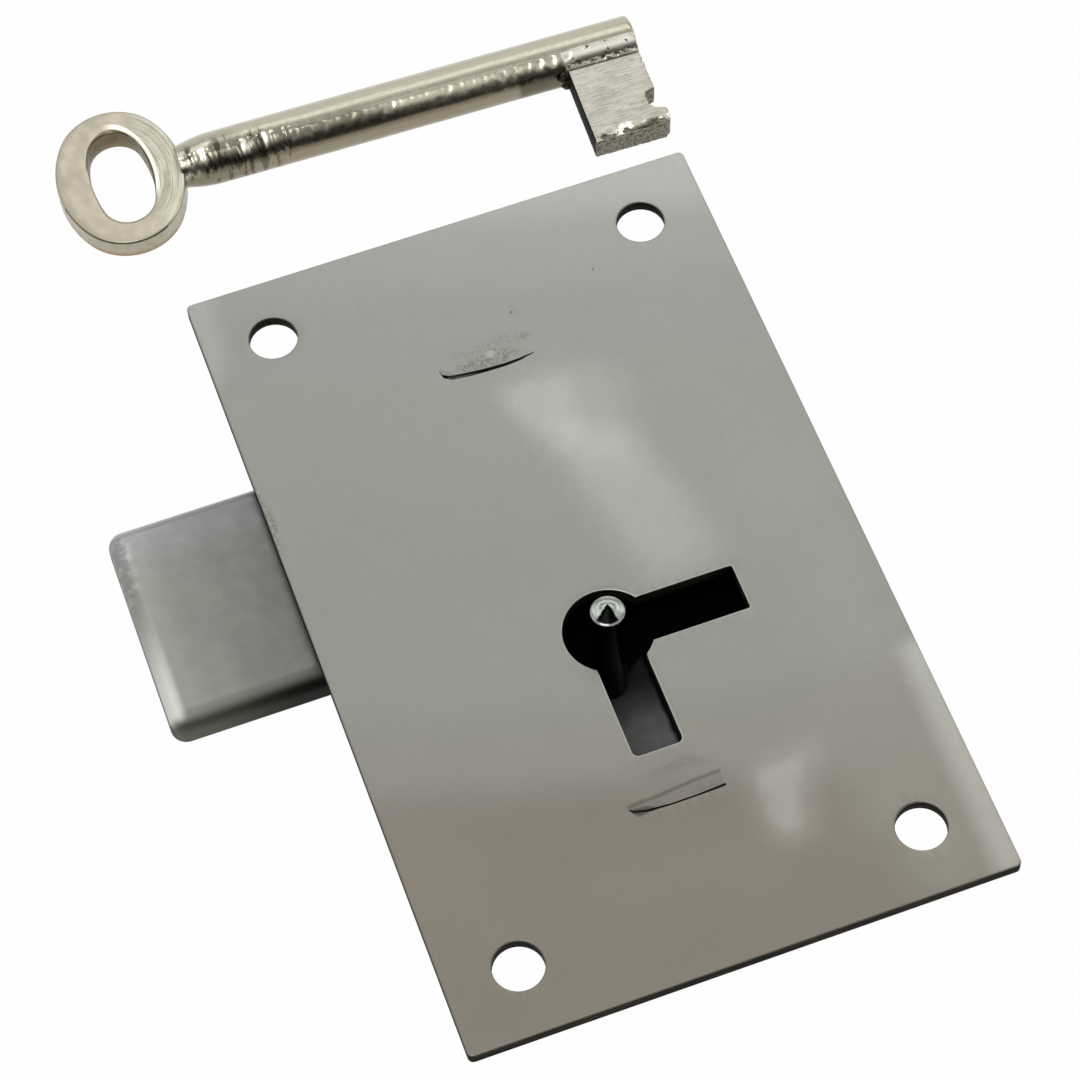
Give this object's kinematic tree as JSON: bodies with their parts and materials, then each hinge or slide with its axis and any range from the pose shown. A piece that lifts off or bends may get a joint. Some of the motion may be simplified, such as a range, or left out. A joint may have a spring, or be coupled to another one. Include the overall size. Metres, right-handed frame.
{
  "type": "wardrobe door lock",
  "caption": "Rectangular steel plate lock for a wardrobe or cupboard door, with a folded case behind, a flat thrown bolt, pivoted levers, a drill pin and a pipe key lying beside it.",
  "frame": {"origin": "centre of the plate's mounting face, the face that the picture shows", "axes": "+Z is the outward normal of the mounting face, X runs along the plate's short edges with the bolt thrown towards -X, Y runs along its long edges with the key's axis below the middle"},
  "size_m": [0.063, 0.1049, 0.0146],
  "materials": {
    "plate_steel": "satin linished steel plate, slightly uneven",
    "case_steel": "satin rolled steel sheet",
    "bolt_steel": "tumbled satin steel with worn round edges",
    "inner_steel": "turned or stamped steel, lightly oiled",
    "pin_steel": "bright turned steel",
    "key_nickel": "warm nickel plate over cast and filed steel",
    "lever_brass": "blanked brass sheet",
    "spring_brass": "hard phosphor bronze strip"
  },
  "bodies": {
    "lock_body": {"lock_plate": "plate_steel", "case": "case_steel", "bolt_guide_stud": "inner_steel", "drill_pin": "pin_steel", "ward": "inner_steel", "lever_pivot": "inner_steel", "pivot_washers": "spring_brass", "lever_spring_1": "spring_brass", "lever_spring_2": "spring_brass", "lever_spring_3": "spring_brass", "spring_post": "inner_steel", "lever_stop_post": "inner_steel"},
    "bolt_slider": {"bolt": "bolt_steel", "bolt_stump": "inner_steel"},
    "lever_1_arm": {"lever_1": "lever_brass"},
    "lever_2_arm": {"lever_2": "lever_brass"},
    "lever_3_arm": {"lever_3": "lever_brass"},
    "loose_key": {"key_bow": "key_nickel", "key_shank": "key_nickel", "key_bit": "key_nickel"}
  },
  "joints": [
    {"name": "bolt_slide", "type": "slide", "parent": "lock_body", "child": "bolt_slider", "axis": [1, 0, 0], "range_m": [0, 0.013]},
    {"name": "lever_1_lift", "type": "hinge", "parent": "lock_body", "child": "lever_1_arm", "pos_m": [0.0155, 0.01, -0.00863], "axis": [0, 0, -1], "range_deg": [-4, 2], "deforming": ["lever_spring_1"]},
    {"name": "lever_2_lift", "type": "hinge", "parent": "lock_body", "child": "lever_2_arm", "pos_m": [0.0155, 0.01, -0.00713], "axis": [0, 0, -1], "range_deg": [-3.4, 2], "deforming": ["lever_spring_2"]},
    {"name": "lever_3_lift", "type": "hinge", "parent": "lock_body", "child": "lever_3_arm", "pos_m": [0.0155, 0.01, -0.00562], "axis": [0, 0, -1], "range_deg": [-4.6, 2], "deforming": ["lever_spring_3"]},
    {"name": "key_lift", "type": "slide", "parent": "lock_body", "child": "loose_key", "axis": [0, 0, 1], "range_m": [0, 0.06]}
  ]
}
